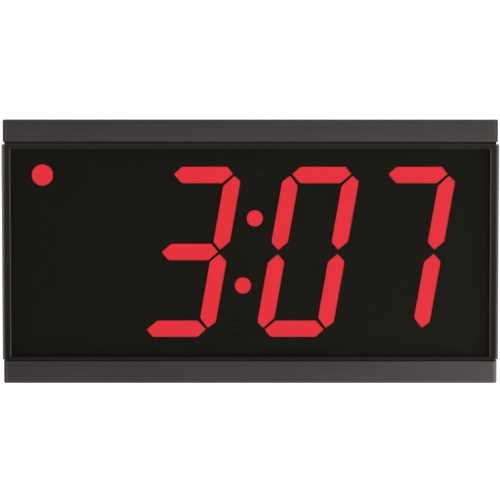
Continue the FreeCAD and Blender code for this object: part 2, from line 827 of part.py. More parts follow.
def stacking_socket():
    b = body("stacking_socket")
    socket_height = 8.5
    sk = front_view(b, display_rear)
    centred(sk, STACK_X, 0, STACK_HALF_X, STACK_HALF_Z)
    pad(b, sk, socket_height, rev=True)
    sk = front_view(b, display_rear + socket_height)
    centred(sk, FIRST_PIN_X, -PIN_PITCH / 2, 0.45, 0.45)
    hole = pocket(b, sk, 7.0, rev=True)
    pattern(b, [hole], sk, PIN_PITCH, PIN_COLUMNS, PIN_PITCH, 2)
    return b


def microcontroller():
    """A square case with eleven leads on each of its four sides."""
    y = controller_rear
    parts = [box("mcu_case", -10, 0, y + 0.15, y + 1.6, 0, 10)]
    for i in range(11):
        middle = 0.9 + i * 0.82
        low, high = middle - 0.18, middle + 0.18
        for row, (x0, x1, z0, z1) in (("a", (low - 10, high - 10, -1.1, 0.2)),
                                      ("b", (low - 10, high - 10, 9.8, 11.1)),
                                      ("c", (-11.1, -9.8, low, high)),
                                      ("d", (-0.2, 1.1, low, high))):
            parts.append(box("mcu_lead_%s%d" % (row, i), x0, x1, y, y + 0.35, z0, z1))
    return fuse("microcontroller", parts)


def filter_capacitors():
    """Three round cans, grooved near the board."""
    b = body("filter_capacitors")
    x, y, z = -48.0, controller_rear, -30.0
    sk = side_view(b, x)
    profile = [(y, z), (y, z + 3.6), (y + 0.6, z + 4.0), (y + 1.6, z + 4.0), (y + 1.9, z + 3.75),
               (y + 2.2, z + 4.0), (y + 11.1, z + 4.0), (y + 11.5, z + 3.6), (y + 11.5, z)]
    polygon(sk, profile)
    add_axis(sk, profile, 0, 8)
    can = revolve(b, sk, "Axis0", "capacitor_turn")
    doc.recompute()
    pattern(b, [can], direction_sketch(front_view(b, y)), 10.5, 3)
    return b


def voltage_regulator():
    y = controller_rear
    parts = [box("regulator_case", 10, 20, y + 0.5, y + 4.9, -34, -25),
             box("regulator_tab", 10.4, 19.6, y, y + 1.3, -26, -22)]
    for i in range(5):
        x = 10.9 + 1.85 * i
        parts.append(box("regulator_lead%d" % i, x, x + 0.8, y, y + 1.0, -38.5, -33.5))
    return fuse("voltage_regulator", parts)


def horn_housing():
    """A can with a sound hole toward the wall."""
    b = body("horn_housing")
    x, y, z = dim.horn_side, controller_rear, dim.horn_height
    sk = front_view(b, y)
    circle(sk, x, z, dim.horn_radius)
    pad(b, sk, dim.horn_depth, rev=True)
    fillet(b, circles("y", y + dim.horn_depth), 1.2)
    # disc chamber, narrower chamber behind it, sound hole
    for start, radius, length in ((y + 2.0, dim.horn_radius - 1.5, 4.0),
                                  (y + 6.0, dim.horn_radius - 3.5, dim.horn_depth - 7.5),
                                  (y + dim.horn_depth - 2.0, 5.0, 3.0)):
        sk = front_view(b, start)
        circle(sk, x, z, radius)
        pocket(b, sk, length)
    return b


def horn_disc():
    """The thin brass disc inside the horn."""
    return rod("horn_disc", "Y", dim.horn_side, controller_rear + 5.5, dim.horn_height,
               dim.horn_radius - 1.6, 0.4)


# ------------------------------------------------- button board and its parts
def button_board():
    b = body("button_board")
    sk = plan_view(b, board_low)
    rectangle(sk, dim.button_board_left, dim.button_board_left + dim.button_board_width,
              -dim.button_board_front, -dim.button_board_rear)
    centred(sk, dim.jack_side, button_y, 4.7, 4.7)
    pad(b, sk, dim.board_thick)
    return b


def tact_switches():
    b = body("tact_switches")
    case_height = 3.5
    sk = plan_view(b, board_low)
    centred(sk, dim.button_first, button_y, 3.0, 3.0)
    case = pad(b, sk, case_height, rev=True)
    sk = plan_view(b, board_low - case_height)
    circle(sk, dim.button_first, button_y, 1.75)
    well = pocket(b, sk, 2.2, rev=True)
    pattern(b, [case, well], sk, dim.button_pitch, 4)
    return b


def buttons():
    """Four flanged caps in the underside, each with its switch plunger."""
    made = []
    radius, flange = dim.button_radius, dim.button_flange
    flange_low, flange_top = rail_floor + 0.02, rail_floor + 1.2
    stem_top = board_low - 5.02
    for i, name in enumerate(("start_stop", "reset", "set_time", "mode")):
        x = dim.button_first + i * dim.button_pitch
        cap = body(name + "_button")
        sk = front_view(cap)
        polygon(sk, [(0, 0.1 - half_height), (radius - 0.5, 0.1 - half_height),
                     (radius, 0.6 - half_height), (radius, flange_low), (flange, flange_low),
                     (flange, flange_top), (1.7, flange_top), (1.7, stem_top), (0, stem_top)])
        revolve(cap, sk, "V_Axis")
        made.append(place(cap, x, button_y))
        made.append(rod(name + "_plunger", "Z", x, button_y, board_low - 5.0, 1.65, 3.0))
    return made


def volume_switch_body():
    b = body("volume_switch_body")
    case_height = 4.0
    sk = plan_view(b, board_low)
    centred(sk, dim.slider_side, button_y, 4.5, 2.3)
    pad(b, sk, case_height, rev=True)
    sk = plan_view(b, board_low - case_height)
    centred(sk, dim.slider_side, button_y, 3.3, 1.0)
    pocket(b, sk, 2.2, rev=True)
    return b


def upright_box(label, x, y, half_x, half_y, z0, z1):
    """A box about the vertical line through x, y."""
    return box(label, x - half_x, x + half_x, y - half_y, y + half_y, z0, z1)


def volume_slider():
    x = dim.slider_side
    return fuse("volume_slider", [
        upright_box("slider_stem", x, button_y, 1.0, 0.9, 0.15 - half_height, board_low - 1.9),
        upright_box("slider_rib", x, button_y, 1.5, 1.6, board_low - 5.4, board_low - 4.5)])


def power_jack_housing():
    x = dim.jack_side
    solid = fuse("jack_solid", [
        upright_box("jack_case", x, button_y, 4.5, 4.5, rail_floor + 0.1, board_low + 7.6),
        upright_box("jack_ears", x, button_y, 6.5, 4.5, board_low - 1.2, board_low)])
    bore = rod("jack_bore_tool", "Z", x, button_y, rail_floor - 1, dim.jack_bore, 12.0)
    return cut("power_jack_housing", solid, [bore])


def power_jack_pin():
    return rod("power_jack_pin", "Z", dim.jack_side, button_y, rail_floor + 1.2,
               dim.jack_pin, 9.8)


# Two plugs and the flat cable join the button board to the controller.
CABLE_X = 35.0


def cable_plug(name, case_z, slot_z):
    """A plug with a slot for the cable; case_z and slot_z are lower and upper ends."""
    y = controller_rear
    case = box(name + "_plug_case", CABLE_X - 9.5, CABLE_X + 9.5, y, y + 6.0, *case_z)
    slot = box(name + "_plug_slot", CABLE_X - 8.1, CABLE_X + 8.1, y + 2.4, y + 3.6, *slot_z)
    return cut(name + "_cable_plug", case, [slot])


def flat_cable():
    """A ribbon with a slack bend toward the wall."""
    b = body("flat_cable")
    sk = side_view(b, CABLE_X)
    rear, front = controller_rear + 3.45, controller_rear + 2.55
    end_z = board_top + 2.6
    polygon(sk, [
        (front, -39.7), (rear, -39.7), (rear, -46.0), (rear + 1.2, -48.5), (rear + 1.9, -51.5),
        (rear + 1.9, -54.0), (rear + 1.2, -57.0), (rear, -59.5), (rear, end_z), (front, end_z),
        (front, -59.8), (front + 1.2, -57.3), (front + 1.9, -54.2), (front + 1.9, -51.3),
        (front + 1.2, -48.2), (front, -45.7)])
    pad(b, sk, 16.0, mid=True)
    return b


# ----------------------------------------------------- rear cover and battery
cell_x, cell_z = dim.cell_side, dim.cell_height


def rear_cover():
    b = body("rear_cover")
    sk = front_view(b, cover_rear)
    rectangle(sk, -dim.cover_width / 2, dim.cover_width / 2, -dim.cover_low, dim.cover_top)
    pad(b, sk, dim.cover_thick)
    cup_depth, chamber_depth = 7.0, 2.2
    sk = front_view(b, cover_front)
    circle(sk, cell_x, cell_z, dim.lug_radius + 1.9)
    pad(b, sk, cup_depth)
    # bayonet chamber and cell pocket, cut from the back
    lug_reach = dim.lug_radius + 0.15
    sk = front_view(b, cover_rear)
    circle(sk, cell_x, cell_z, dim.door_hole)
    pocket(b, sk, 2.5, rev=True)
    sk = front_view(b, cover_front)
    circle(sk, cell_x, cell_z, lug_reach)
    pocket(b, sk, chamber_depth, rev=True)
    sk = front_view(b, cover_front - chamber_depth)
    circle(sk, cell_x, cell_z, dim.cell_radius + 0.3)
    rectangle(sk, cell_x - 2.5, cell_x + 2.5, cell_z + 10.05, cell_z + 11.6)
    pocket(b, sk, 3.4, rev=True)
    # notches that let the door lugs in
    sk = front_view(b, cover_rear)
    rectangle(sk, cell_x + 11.0, cell_x + lug_reach, cell_z - 2.9, cell_z + 2.9)
    rectangle(sk, cell_x - lug_reach, cell_x - 11.0, cell_z - 2.9, cell_z + 2.9)
    pocket(b, sk, 2.5, rev=True)
    # slits for the contact tails
    sk = front_view(b, cover_front - cup_depth)
    for rise in (0, 10.9):
        centred(sk, cell_x, cell_z + rise, 1.8, 0.4)
    pocket(b, sk, 2.0)
    through = dim.cover_thick + 0.5
    # openings for the bracket hooks
    sk = front_view(b, cover_rear)
    hook_z = dim.plate_height / 2
    for side in (-1, 1):
        x = side * dim.hook_side
        rectangle(sk, x - dim.hook_width / 2 - 1, x + dim.hook_width / 2 + 1,
                  hook_z - 11.55, hook_z + 0.05)
    pocket(b, sk, through, rev=True)
    # ventilation slots, three in each corner
    for low in (50.0, -64.5):
        sk = front_view(b, cover_rear)
        rectangle(sk, -118.0, -90.0, low, low + 2.5)
        vent = pocket(b, sk, through, rev=True)
        pattern(b, [vent], sk, 208.0, 2, 6.0, 3)
    # slots over the horn
    sk = front_view(b, cover_rear)
    for row, half in enumerate((6.0, 9.5, 11.0, 9.5, 6.0)):
        centred(sk, dim.horn_side, dim.horn_height + (row - 2) * 5.0, half, 1.2)
    pocket(b, sk, through, rev=True)
    fillet(b, lines("y", x=[-dim.cover_width / 2, dim.cover_width / 2]), 1.0)
    return b


def battery_door():
    b = body("battery_door")
    radius, lug = dim.door_radius, dim.lug_radius - 0.1
    lug_rear = -2.1
    sk = side_view(b)
    polygon(sk, [(0, 0), (0, radius - 0.4), (-0.4, radius), (lug_rear, radius),
                 (lug_rear, 10.6), (-3.3, 10.6), (-3.3, 0)])
    revolve(b, sk, "H_Axis")
    # two upright lugs; they lock behind the cover a quarter turn from the notches
    sk = front_view(b, lug_rear)
    for side in (1, -1):
        polygon(sk, [(-2.3, side * 10.0), (2.3, side * 10.0), (2.3, side * 12.0),
                     (1.2, side * lug), (-1.2, side * lug), (-2.3, side * 12.0)])
    pad(b, sk, 1.5)
    # slot across the outside
    sk = front_view(b)
    centred(sk, 0, 0, 7.0, 0.9)
    pocket(b, sk, 1.3, rev=True)
    return place(b, cell_x, cover_rear, cell_z)


def coin_cell():
    b = body("coin_cell")
    radius, thick = dim.cell_radius, dim.cell_thick
    sk = side_view(b)
    polygon(sk, [(0, 0), (0, radius - 0.4), (-0.4, radius), (-2.4, radius), (-2.7, radius - 1.2),
                 (-thick, radius - 1.6), (-thick, 0)])
    revolve(b, sk, "H_Axis")
    return place(b, cell_x, cover_front - 1.6, cell_z)


def cell_contacts():
    x, y, z = cell_x, cover_front, cell_z
    low, high = z + 10.75, z + 11.05
    floor = fuse("cell_contact_floor", [
        box("contact_leaf", x - 4, x + 4, y - 5.5, y - 5.2, z - 2, z + 2),
        box("contact_tail", x - 1.5, x + 1.5, y - 9.0, y - 5.3, z - 0.15, z + 0.15)])
    side = fuse("cell_contact_side", [
        box("contact_side_leaf", x - 2, x + 2, y - 5.5, y - 2.4, low, high),
        box("contact_side_tail", x - 1.5, x + 1.5, y - 9.0, y - 5.3, low, high)])
    return group("cell_contacts", [floor, side])


def battery_lead_plug():
    """A small plug on the controller board for the cell's twin lead."""
    y = controller_rear
    case = box("battery_plug_case", -60.0, -53.0, y, y + 5.6, cell_z - 4.0, cell_z + 14.0)
    slots = [box("battery_plug_slot_" + name, -61.0, -56.0, y + 1.6, y + 4.4,
                 cell_z + low, cell_z + high)
             for name, low, high in (("a", -1.6, 1.6), ("b", 9.3, 12.5))]
    return cut("battery_lead_plug", case, slots)


def lead(z):
    """A round lead that runs from a contact tail to the plug in gentle bends."""
    stations = [(cell_x, cover_front - 9.9), (cell_x + 6.0, cover_front - 10.1),
                (cell_x + 22.0, cover_front - 13.0), (cell_x + 34.0, controller_rear + 3.0),
                (Size(-56.2), controller_rear + 3.0)]
    points = [V(x.value, y.value, z.value) for x, y in stations]
    path = Part.BSplineCurve()
    path.interpolate(points)
    tangent = path.tangent(path.FirstParameter)[0]
    ring = Part.Wire([Part.Circle(points[0], tangent, 0.75).toShape()])
    return Part.Wire([path.toShape()]).makePipeShell([ring], True, True)


def battery_leads():
    """Two pipes along splines, so they are plain shapes with no expressions."""
    obj = add("Part::Feature", "battery_leads")
    obj.Shape = Part.makeCompound([lead(cell_z), lead(cell_z + 10.9)])
    return obj


def rear_bumpers():
    b = body("rear_bumpers")
    sk = front_view(b, cover_rear)
    circle(sk, -dim.bumper_x, -dim.bumper_z, dim.bumper_radius)
    bumper = pad(b, sk, dim.cover_rear, rev=True)
    pattern(b, [bumper], sk, 2 * dim.bumper_x, 2, 2 * dim.bumper_z, 2)
    fillet(b, circles("y", 0), 1.0)
    return b


# ---------------------------------------------------------------- wall bracket
def wall_bracket():
    b = body("wall_bracket")
    steel = dim.steel_thick
    half_x, half_z = dim.plate_width / 2, dim.plate_height / 2
    sk = front_view(b)
    centred(sk, 0, 0, half_x, half_z)
    pad(b, sk, steel)
    # two hooks that reach forward from the top edge and turn up
    sk = side_view(b, -dim.hook_side)
    tip_y, tip_z = -dim.hook_reach, half_z + dim.hook_lip
    polygon(sk, [(-1.0, half_z - steel), (tip_y, half_z - steel), (tip_y, tip_z - 2),
                 (tip_y + 1.0, tip_z - 2), (tip_y + steel, tip_z - 3.5),
                 (tip_y + steel, half_z), (-1.0, half_z)])
    hook = pad(b, sk, dim.hook_width, mid=True)
    pattern(b, [hook], direction_sketch(front_view(b)), 2 * dim.hook_side, 2)
    # screw holes and two large windows
    window_inner, window_outer, window_z = 12.0, 45.0, 18.0
    sk = front_view(b, -steel)
    for side in (-1, 1):
        for end in (-1, 1):
            circle(sk, side * dim.screw_span_x / 2, end * dim.screw_span_z / 2, dim.screw_hole)
        circle(sk, 0, side * dim.box_span / 2, dim.box_hole)
    rectangle(sk, -window_outer, -window_inner, -window_z, window_z)
    rectangle(sk, window_inner, window_outer, -window_z, window_z)
    pocket(b, sk, steel + 1)
    fillet(b, lines("y", x=[-half_x, half_x], z=[-half_z, half_z]), 5.0)
    fillet(b, lines("y", x=[-window_outer, -window_inner, window_inner, window_outer],
                    z=[-window_z, window_z]), 3.0)
    return b


# ------------------------------------------------------------ build and export
pieces = [
    top_rail(), bottom_rail(),
    end_plate("left_end_plate", -1), end_plate("right_end_plate", 1), end_plate_screws(),
    front_bezel(), lens_tape(), front_lens(),
    segments("hour_tens_segments_unlit", digit_x[0], "abcdefg"),
    segments("hour_units_segments_lit", digit_x[1], "abcdg"),
    segments("hour_units_segments_unlit", digit_x[1], "ef"),
    segments("minute_tens_segments_lit", digit_x[2], "abcdef"),
    segments("minute_tens_segment_unlit", digit_x[2], "g"),
    segments("minute_units_segments_lit", digit_x[3], "abc"),
    segments("minute_units_segments_unlit", digit_x[3], "defg"),
    dots("colon_dots", colon_centres, dim.colon_radius),
    dots("indicator_dot", [lamp_centre], dim.lamp_radius),
    light_baffle_panel(),
    display_board(), segment_leds(), infrared_receiver(), light_sensor(), led_driver_chips(),
    controller_board(), board_standoffs(), controller_board_screws(),
    stacking_header(), stacking_socket(), microcontroller(),
    rounded_slab("timing_crystal", controller_rear, (-27.0, -16.0, 3.0, 7.6), 3.6, 2.2),
    filter_capacitors(),
    rounded_slab("power_inductor", controller_rear, (-12.0, 0.0, -36.0, -24.0), 6.0, 2.0),
    voltage_regulator(), horn_housing(), horn_disc(),
    button_board(), tact_switches(), *buttons(), volume_switch_body(), volume_slider(),
    power_jack_housing(), power_jack_pin(),
    cable_plug("controller", (-44.0, -37.0), (-45.0, -39.5)),
    cable_plug("button", (board_top, board_top + 6.5), (board_top + 2.4, board_top + 7.5)),
    flat_cable(),
    rear_cover(), battery_door(), coin_cell(), cell_contacts(), battery_lead_plug(),
    battery_leads(), rear_bumpers(), wall_bracket(),
]

doc.recompute()
bad = [(o.Name, o.State) for o in doc.Objects if "Invalid" in o.State or "Error" in o.State]
for piece in pieces:
    shape = piece.Shape
    if shape.isNull() or not shape.isValid() or not shape.Solids:
        bad.append((piece.Label, "shape"))
if bad:
    raise RuntimeError(str(bad))
os.makedirs("parts", exist_ok=True)
for piece in pieces:
    piece.Shape.exportStep("parts/%s.step" % piece.Label)
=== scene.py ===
"""Digital clock with a lit red segment display: materials, rating label, stage and camera.

The clock spans X, faces -Y and stands along Z, with the origin near its middle.
All lengths are in metres.
"""

import json
import math

import bmesh
import bpy
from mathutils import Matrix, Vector


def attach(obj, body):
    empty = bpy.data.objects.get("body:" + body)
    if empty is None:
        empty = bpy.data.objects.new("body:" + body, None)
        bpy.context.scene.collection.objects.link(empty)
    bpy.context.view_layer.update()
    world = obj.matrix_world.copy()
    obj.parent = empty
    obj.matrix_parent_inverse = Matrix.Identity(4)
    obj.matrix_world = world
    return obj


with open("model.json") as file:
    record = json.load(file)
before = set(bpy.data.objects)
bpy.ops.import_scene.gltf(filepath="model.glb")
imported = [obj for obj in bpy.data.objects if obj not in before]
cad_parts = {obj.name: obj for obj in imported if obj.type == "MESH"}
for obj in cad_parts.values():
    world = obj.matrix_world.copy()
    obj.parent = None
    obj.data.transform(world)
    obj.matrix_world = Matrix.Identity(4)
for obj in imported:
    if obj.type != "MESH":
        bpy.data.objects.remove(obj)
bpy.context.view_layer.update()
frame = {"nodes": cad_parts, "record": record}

scene = bpy.context.scene
scene.view_settings.view_transform = "Standard"
scene.view_settings.look = "None"
scene.view_settings.exposure = 0.0
scene.view_settings.gamma = 1.0

# Rating label on the back of the clock
LABEL_WIDTH = 0.033
LABEL_HEIGHT = 0.051
LABEL_CORNER = 0.0022
LABEL_THICKNESS = 0.00016
LABEL_PLACE = (0.1035, -0.00601, -0.006)

# Floor
FLOOR_Z = -0.36
FLOOR_HALF = 40.0

# Camera, aimed at the middle of the clock's front
FRONT_Y = -0.057
CAMERA_DISTANCE = 1.10
CAMERA_ELEVATION = math.radians(2.45)
SENSOR_WIDTH = 36.0     # millimetres
VIEW_WIDTH = 0.29775    # width seen at the clock's front


# ------------------------------------------------------------ node builders
class Graph:
    """Builds a node tree. A value may be a number, a tuple or another node's output."""

    def __init__(self, tree, output_kind):
        self.tree = tree
        tree.nodes.clear()
        self.out = self.node(output_kind)
        self.coordinates = self.node("TexCoord").outputs

    def put(self, socket, value):
        if isinstance(value, bpy.types.NodeSocket):
            self.tree.links.new(value, socket)
        elif isinstance(value, tuple) and len(socket.default_value) == 4:
            socket.default_value = (*value, 1.0)
        else:
            socket.default_value = value

    def node(self, kind, inputs=None, **settings):
        node = self.tree.nodes.new("ShaderNode" + kind)
        for key, value in settings.items():
            setattr(node, key, value)
        for key, value in (inputs or {}).items():
            self.put(node.inputs[key], value)
        return node

    def axes(self, source):
        """X, Y and Z outputs of a vector."""
        return self.node("SeparateXYZ", {0: source}).outputs

    def span(self, value, over=(0.3, 0.7), to=(0.0, 1.0), ramp="LINEAR"):
        """Maps the range `over` onto the range `to`, clamped at both ends."""
        inputs = {"Value": value, "From Min": over[0], "From Max": over[1],
                  "To Min": to[0], "To Max": to[1]}
        return self.node("MapRange", inputs, interpolation_type=ramp).outputs["Result"]

    def calc(self, operation, a, b=0.0):
        return self.node("Math", {0: a, 1: b}, operation=operation).outputs[0]

    def add(self, a, b):
        return self.calc("ADD", a, b)

    def times(self, a, b):
        return self.calc("MULTIPLY", a, b)

    def mix(self, factor, a, b):
        return self.node("Mix", {0: factor, 6: a, 7: b}, data_type="RGBA").outputs[2]

    def mix_shaders(self, factor, a, b):
        return self.node("MixShader", {0: factor, 1: a, 2: b}).outputs[0]


class Surface(Graph):
    """A node material, textured in object coordinates."""

    def __init__(self, name):
        self.material = bpy.data.materials.new(name)
        self.material.use_nodes = True
        super().__init__(self.material.node_tree, "OutputMaterial")
        self.object_space = self.coordinates["Object"]

    def mapped(self, scale, move=(0, 0, 0), turn=(0, 0, 0)):
        inputs = {"Vector": self.object_space, "Scale": scale, "Location": move, "Rotation": turn}
        return self.node("Mapping", inputs).outputs["Vector"]

    def noise(self, scale=1.0, detail=4.0, rough=0.55, at=None):
        inputs = {"Vector": at or self.object_space, "Scale": scale,
                  "Detail": detail, "Roughness": rough}
        return self.node("TexNoise", inputs).outputs["Fac"]

    def cells(self, scale, at=None, feature="F1"):
        inputs = {"Vector": at or self.object_space, "Scale": scale}
        return self.node("TexVoronoi", inputs, feature=feature).outputs["Distance"]

    def tone(self, value, base, dark, pale, over=(0.3, 0.7), to=(0.0, 1.0)):
        """Runs from the base colour times `dark` to the base colour times `pale`."""
        return self.mix(self.span(value, over, to), shade(base, dark), shade(base, pale))

    def scaled(self, colour, factor):
        inputs = {0: colour, "Scale": factor}
        return self.node("VectorMath", inputs, operation="SCALE").outputs["Vector"]

    def soft_edge(self, radius):
        """Normal with sharp edges rounded by a small radius, so that they catch the light."""
        return self.node("Bevel", {"Radius": radius}, samples=6).outputs["Normal"]

    def rim(self, radius):
        """1 along edges and 0 on flats: where a widely rounded normal leaves the true one."""
        true_normal = self.node("NewGeometry").outputs["Normal"]
        dot = self.node("VectorMath", {0: self.soft_edge(radius), 1: true_normal},
                        operation="DOT_PRODUCT")
        return self.span(dot.outputs["Value"], over=(0.90, 0.995), to=(1.0, 0.0))

    def bump(self, height, strength, distance, under=None):
        inputs = {"Strength": strength, "Distance": distance, "Height": height}
        if under is not None:
            inputs["Normal"] = under
        return self.node("Bump", inputs).outputs["Normal"]

    def principled(self, **sockets):
        inputs = {key.replace("_", " "): value for key, value in sockets.items()}
        return self.node("BsdfPrincipled", inputs).outputs[0]

    def clear(self, **inputs):
        return self.node("BsdfTransparent", inputs).outputs[0]

    def finish(self, shader):
        self.put(self.out.inputs["Surface"], shader)
        return self.material


def shade(base, factor):
    return tuple(channel * factor for channel in base)


# ---------------------------------------------------------------- materials
def moulded(name, base, rough=0.45, grain=2600.0, depth=0.00004, spec=0.5, edge=0.0):
    """Moulded plastic: fine grain, slow colour drift, handled patches of another sheen."""
    s = Surface(name)
    drift = s.noise(scale=9.0, detail=3.0)
    fine = s.noise(scale=grain, detail=3.0, rough=0.6)
    hands = s.noise(scale=22.0, detail=5.0, rough=0.6)
    roughness = s.add(s.span(hands, over=(0.35, 0.7), to=(rough - 0.07, rough + 0.08)),
                      s.span(fine, to=(-0.02, 0.02)))
    under = s.soft_edge(edge) if edge else None
    return s.finish(s.principled(
        Base_Color=s.tone(drift, base, dark=0.82, pale=1.18),
        Roughness=roughness,
        Specular_IOR_Level=spec,
        Normal=s.bump(fine, strength=0.5, distance=depth, under=under)))


# Noise scales along X, Y, Z, low along the length of the extrusion
DIE_LINES = {"x": (3.0, 1400.0, 1400.0), "z": (900.0, 900.0, 6.0)}
DIE_STREAKS = {"x": (13.0, 520.0, 520.0), "z": (520.0, 520.0, 13.0)}


def anodised(name, base, along="x", rub=0.42, corner=None):
    """Charcoal anodised extrusion: die lines, matt grain, pale nicks, rubbed edges and painted
    shade.

    `corner` is the painted light on the thin front corner (at its foot, above): below 1.0 it
    paints shade, above 1.0 a highlight; 1.0 changes nothing.
    """
    s = Surface(name)
    lines = s.noise(detail=4.0, rough=0.65, at=s.mapped(DIE_LINES[along]))
    grain = s.noise(scale=3800.0, detail=2.0, rough=0.5)
    drift = s.noise(scale=7.0, detail=2.0)
    nicks = s.span(s.noise(scale=260.0, detail=2.0, rough=0.4), over=(0.80, 0.86), to=(0.0, 0.22))
    box = s.axes(s.coordinates["Generated"])
    colour = s.tone(lines, base, dark=0.93, pale=1.07, over=(0.25, 0.75))
    if along == "x":
        # painted shade: each length is lighter at its foot and darker at its top, set for the
        # front view's light
        colour = s.scaled(colour, s.span(box["Z"], over=(0.0, 1.0), to=(1.17, 0.93)))
    colour = s.mix(s.span(drift, to=(0.0, 0.5)), colour, shade(base, 1.06))
    # broader streaks left by the die, and patches where the dye took more or less
    streaks = s.noise(detail=3.0, rough=0.7, at=s.mapped(DIE_STREAKS[along]))
    patches = s.noise(scale=24.0, detail=3.0, rough=0.5)
    colour = s.scaled(colour, s.add(s.span(streaks, to=(-0.11, 0.11)),
                                    s.span(patches, over=(0.35, 0.65), to=(0.97, 1.03))))
    # painted shade on the thin front corner, and a painted highlight where a `corner` factor is
    # above 1.0
    if corner:
        foot, above = corner
        front = s.span(box["Y"], over=(0.02, 0.05), to=(1.0, 0.0))
        corner_painted_light = s.span(box["Z"], over=(0.10, 0.30), to=(foot - 1.0, above - 1.0))
        colour = s.scaled(colour, s.add(s.times(front, corner_painted_light), 1.0))
    colour = s.mix(nicks, colour, (0.20, 0.19, 0.19))
    wear = s.span(s.noise(scale=130.0, detail=5.0, rough=0.65),
                  over=(0.30, 0.62), to=(rub * 0.33, rub))
    colour = s.mix(s.times(s.rim(radius=0.0014), wear), colour, (0.17, 0.155, 0.150))
    height = s.add(s.times(lines, 0.5), s.times(grain, 0.5))
    return s.finish(s.principled(
        Base_Color=colour,
        Metallic=0.35,
        Roughness=s.add(s.span(lines, over=(0.2, 0.8), to=(0.40, 0.50)),
                        s.span(grain, to=(-0.03, 0.03))),
        Specular_IOR_Level=0.42,
        Normal=s.bump(height, strength=0.30, distance=0.00002, under=s.soft_edge(0.00045))))


def gloss_black(name, base):
    """Gloss black moulding with wipe marks, faint dust and painted shade on a less shiny lower
    lip.
    """
    s = Surface(name)
    wipes = s.noise(detail=5.0, rough=0.6, at=s.mapped((60.0, 60.0, 500.0), turn=(0, 0.4, 0)))
    dust = s.span(s.cells(scale=900.0), over=(0.0, 0.06), to=(1.0, 0.0))
    colour = s.tone(s.noise(scale=12.0, detail=3.0), base, dark=0.93, pale=1.07)
    colour = s.mix(s.times(dust, 0.05), colour, (0.25, 0.24, 0.22))
    # painted shade: the colour darkens towards the lower lip, and its shine drops there, both set
    # for the front view's light
    height = s.axes(s.coordinates["Generated"])["Z"]
    colour = s.scaled(colour, s.span(height, over=(0.0, 0.8), to=(0.58, 1.0)))
    ripple = s.noise(scale=40.0, detail=2.0)
    return s.finish(s.principled(
        Base_Color=colour,
        Roughness=s.add(s.span(wipes, over=(0.3, 0.75), to=(0.10, 0.16)), s.times(dust, 0.05)),
        Specular_IOR_Level=s.span(height, over=(0.0, 0.8), to=(0.43, 0.5)),
        Normal=s.bump(ripple, strength=0.04, distance=0.0002, under=s.soft_edge(0.0003))))


def painted(name, base, rough=0.5, peel=900.0):
    """Powder coat: orange peel, worn paler patches and chipped edges."""
    s = Surface(name)
    peel_height = s.noise(scale=peel, detail=2.0, rough=0.5)
    worn = s.span(s.noise(scale=70.0, detail=6.0, rough=0.7), over=(0.66, 0.80), to=(0.0, 0.35))
    colour = s.tone(s.noise(scale=14.0, detail=4.0), base, dark=0.85, pale=1.2)
    colour = s.mix(worn, colour, (0.16, 0.16, 0.165))
    chips = s.span(s.noise(scale=210.0, detail=5.0, rough=0.7),
                   over=(0.42, 0.62), to=(0.05, 0.75))
    colour = s.mix(s.times(s.rim(radius=0.0012), chips), colour, (0.22, 0.22, 0.225))
    return s.finish(s.principled(
        Base_Color=colour,
        Roughness=s.span(peel_height, to=(rough - 0.08, rough + 0.08)),
        Specular_IOR_Level=0.5,
        Normal=s.bump(peel_height, strength=0.35, distance=0.00008, under=s.soft_edge(0.0006))))


def metal(name, base, rough=0.28, brush=(900.0, 900.0, 30.0)):
    """Bare metal: fine brushing and dull warm spots."""
    s = Surface(name)
    lines = s.noise(detail=4.0, rough=0.6, at=s.mapped(brush))
    spots = s.span(s.noise(scale=180.0, detail=5.0, rough=0.7), over=(0.62, 0.78), to=(0.0, 0.45))
    grime = tuple(channel * tint for channel, tint in zip(base, (0.50, 0.46, 0.40)))
    colour = s.tone(lines, base, dark=0.88, pale=1.08, over=(0.2, 0.8))
    return s.finish(s.principled(
        Base_Color=s.mix(spots, colour, grime),
        Metallic=1.0,
        Roughness=s.span(lines, over=(0.2, 0.8), to=(rough - 0.08, rough + 0.1)),
        Normal=s.bump(lines, strength=0.15, distance=0.00003, under=s.soft_edge(0.00015))))


def rubber(name, base, rough=0.8):
    """Matt rubber with a pale bloom."""
    s = Surface(name)
    fine = s.noise(scale=2400.0, detail=3.0, rough=0.6)
    bloom = s.span(s.noise(scale=60.0, detail=5.0, rough=0.65), over=(0.5, 0.75), to=(0.0, 0.5))
    return s.finish(s.principled(
        Base_Color=s.mix(bloom, base, shade(base, 2.1)),
        Roughness=s.span(fine, over=(0.2, 0.8), to=(rough - 0.1, rough + 0.08)),
        Specular_IOR_Level=0.3,
        Normal=s.bump(fine, strength=0.6, distance=0.00006)))


def circuit(name, base):
    """Solder mask over raised copper tracks, with bare plated vias."""
    s = Surface(name)

    def tracks_along(scale, at):
        edges = s.cells(scale, at=at, feature="DISTANCE_TO_EDGE")
        return s.span(edges, over=(0.02, 0.05), to=(1.0, 0.0))

    tracks = s.calc("MAXIMUM",
                    tracks_along(scale=300.0, at=s.mapped((1.0, 0.0, 0.28))),
                    tracks_along(scale=260.0, at=s.mapped((0.3, 0.0, 1.0), move=(0.3, 0, 0.2))))
    vias = s.span(s.cells(scale=190.0), over=(0.055, 0.075), to=(1.0, 0.0))
    cloud = s.noise(scale=30.0, detail=4.0)
    colour = s.tone(cloud, base, dark=0.85, pale=1.15)
    colour = s.mix(s.times(tracks, 0.55), colour, shade(base, 1.9))
    return s.finish(s.principled(
        Base_Color=s.mix(vias, colour, (0.62, 0.58, 0.45)),
        Metallic=s.times(vias, 0.9),
        Roughness=s.span(cloud, to=(0.28, 0.40)),
        Specular_IOR_Level=0.5,
        Normal=s.bump(s.add(tracks, vias), strength=0.4, distance=0.00008)))


